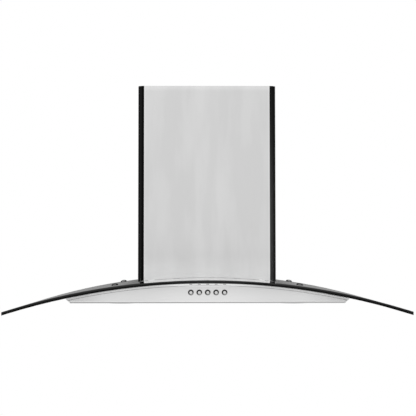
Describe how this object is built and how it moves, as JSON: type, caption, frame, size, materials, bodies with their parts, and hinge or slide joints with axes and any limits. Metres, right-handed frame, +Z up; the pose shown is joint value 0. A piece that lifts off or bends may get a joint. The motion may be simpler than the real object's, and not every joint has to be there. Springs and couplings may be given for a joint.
{
  "type": "wall mount range hood",
  "caption": "Chimney range hood with a curved glass canopy over a shallow steel body, push-buttons, baffle filters, blower and telescoping duct cover.",
  "frame": {"origin": "on the wall plane, at the centre of the four wall screws", "axes": "+X across the hood to its right as seen from the wall's room side, +Y into the wall, +Z up"},
  "size_m": [0.9, 0.5, 0.5379],
  "materials": {
    "brushed_sheet": "brushed stainless sheet",
    "clear_glass": "clear toughened glass with polished dark edges",
    "black_strip": "gloss black",
    "bezel_metal": "darkened bright metal",
    "button_cap": "satin bright metal",
    "cap_metal": "bright metal",
    "galvanised": "galvanised sheet",
    "filter_sheet": "stainless sheet",
    "black_plastic": "matt moulded plastic",
    "white_plastic": "matt moulded plastic",
    "lamp_metal": "satin",
    "lens": "frosted",
    "rubber": "soft",
    "screw_steel": "plated",
    "blower_aluminium": "mill finish",
    "motor_paint": "satin dark grey",
    "bearing_bronze": "sintered"
  },
  "bodies": {
    "hood": {"canopy_shell": "brushed_sheet", "control_fascia": "brushed_sheet", "bottom_pan": "brushed_sheet", "chimney_lower": "brushed_sheet", "glass_canopy": "clear_glass", "chimney_trim_left": "black_strip", "chimney_trim_right": "black_strip", "bezel_1": "bezel_metal", "bezel_2": "bezel_metal", "bezel_3": "bezel_metal", "bezel_4": "bezel_metal", "bezel_5": "bezel_metal", "glass_caps": "cap_metal", "filter_rail": "galvanised", "wall_frame": "galvanised", "blower_box": "galvanised", "blower_cover": "galvanised", "motor_bracket": "galvanised", "chimney_foot_brackets": "galvanised", "switch_block": "black_plastic", "scroll_body": "black_plastic", "scroll_inlet_left": "black_plastic", "scroll_inlet_right": "black_plastic", "exhaust_collar": "black_plastic", "cable_gland": "black_plastic", "control_box": "white_plastic", "capacitor": "white_plastic", "lamp_housing_left": "lamp_metal", "lamp_housing_right": "lamp_metal", "lamp_lens_left": "lens", "lamp_lens_right": "lens", "glass_gasket": "rubber", "glass_bushes": "rubber", "glass_screws": "screw_steel", "blower_screws": "screw_steel", "cover_screws": "screw_steel", "damper_rod": "screw_steel", "motor_housing": "motor_paint", "motor_bearings": "bearing_bronze"},
    "impeller": {"impeller": "blower_aluminium", "impeller_nut": "screw_steel", "motor_shaft": "screw_steel"},
    "damper_front": {"damper_flap_front": "blower_aluminium"},
    "damper_rear": {"damper_flap_rear": "blower_aluminium"},
    "upper_cover": {"chimney_upper": "brushed_sheet", "chimney_upper_bracket": "galvanised"},
    "filter_left": {"filter_frame_left": "filter_sheet", "filter_baffles_left": "filter_sheet"},
    "filter_right": {"filter_frame_right": "filter_sheet", "filter_baffles_right": "filter_sheet"},
    "latch_left": {"filter_latch_left": "black_plastic"},
    "latch_right": {"filter_latch_right": "black_plastic"},
    "button_1": {"button_1": "button_cap"},
    "button_2": {"button_2": "button_cap"},
    "button_3": {"button_3": "button_cap"},
    "button_4": {"button_4": "button_cap"},
    "button_5": {"button_5": "button_cap"}
  },
  "joints": [
    {"name": "button_1_press", "type": "slide", "parent": "hood", "child": "button_1", "axis": [0, 1, 0], "range_m": [0, 0.0025], "stiffness_N_per_m": 250, "springref_m": -0.002},
    {"name": "button_2_press", "type": "slide", "parent": "hood", "child": "button_2", "axis": [0, 1, 0], "range_m": [0, 0.0025], "stiffness_N_per_m": 250, "springref_m": -0.002},
    {"name": "button_3_press", "type": "slide", "parent": "hood", "child": "button_3", "axis": [0, 1, 0], "range_m": [0, 0.0025], "stiffness_N_per_m": 250, "springref_m": -0.002},
    {"name": "button_4_press", "type": "slide", "parent": "hood", "child": "button_4", "axis": [0, 1, 0], "range_m": [0, 0.0025], "stiffness_N_per_m": 250, "springref_m": -0.002},
    {"name": "button_5_press", "type": "slide", "parent": "hood", "child": "button_5", "axis": [0, 1, 0], "range_m": [0, 0.0025], "stiffness_N_per_m": 250, "springref_m": -0.002},
    {"name": "impeller_spin", "type": "hinge", "parent": "hood", "child": "impeller", "pos_m": [0, -0.109, -0.029], "axis": [1, 0, 0], "continuous": true},
    {"name": "damper_front_swing", "type": "hinge", "parent": "hood", "child": "damper_front", "pos_m": [0, -0.172, 0.106], "axis": [-1, 0, 0], "range_deg": [0, 75]},
    {"name": "damper_rear_swing", "type": "hinge", "parent": "hood", "child": "damper_rear", "pos_m": [0, -0.172, 0.106], "axis": [1, 0, 0], "range_deg": [0, 75]},
    {"name": "upper_cover_slide", "type": "slide", "parent": "hood", "child": "upper_cover", "axis": [0, 0, 1], "range_m": [0, 0.35]},
    {"name": "filter_left_drop", "type": "hinge", "parent": "hood", "child": "filter_left", "pos_m": [0, -0.0573, -0.1989], "axis": [1, 0, 0], "range_deg": [0, 50]},
    {"name": "latch_left_pull", "type": "slide", "parent": "filter_left", "child": "latch_left", "axis": [0, 1, 0], "range_m": [0, 0.004], "stiffness_N_per_m": 400, "springref_m": -0.002},
    {"name": "filter_right_drop", "type": "hinge", "parent": "hood", "child": "filter_right", "pos_m": [0, -0.0573, -0.1989], "axis": [1, 0, 0], "range_deg": [0, 50]},
    {"name": "latch_right_pull", "type": "slide", "parent": "filter_right", "child": "latch_right", "axis": [0, 1, 0], "range_m": [0, 0.004], "stiffness_N_per_m": 400, "springref_m": -0.002}
  ]
}
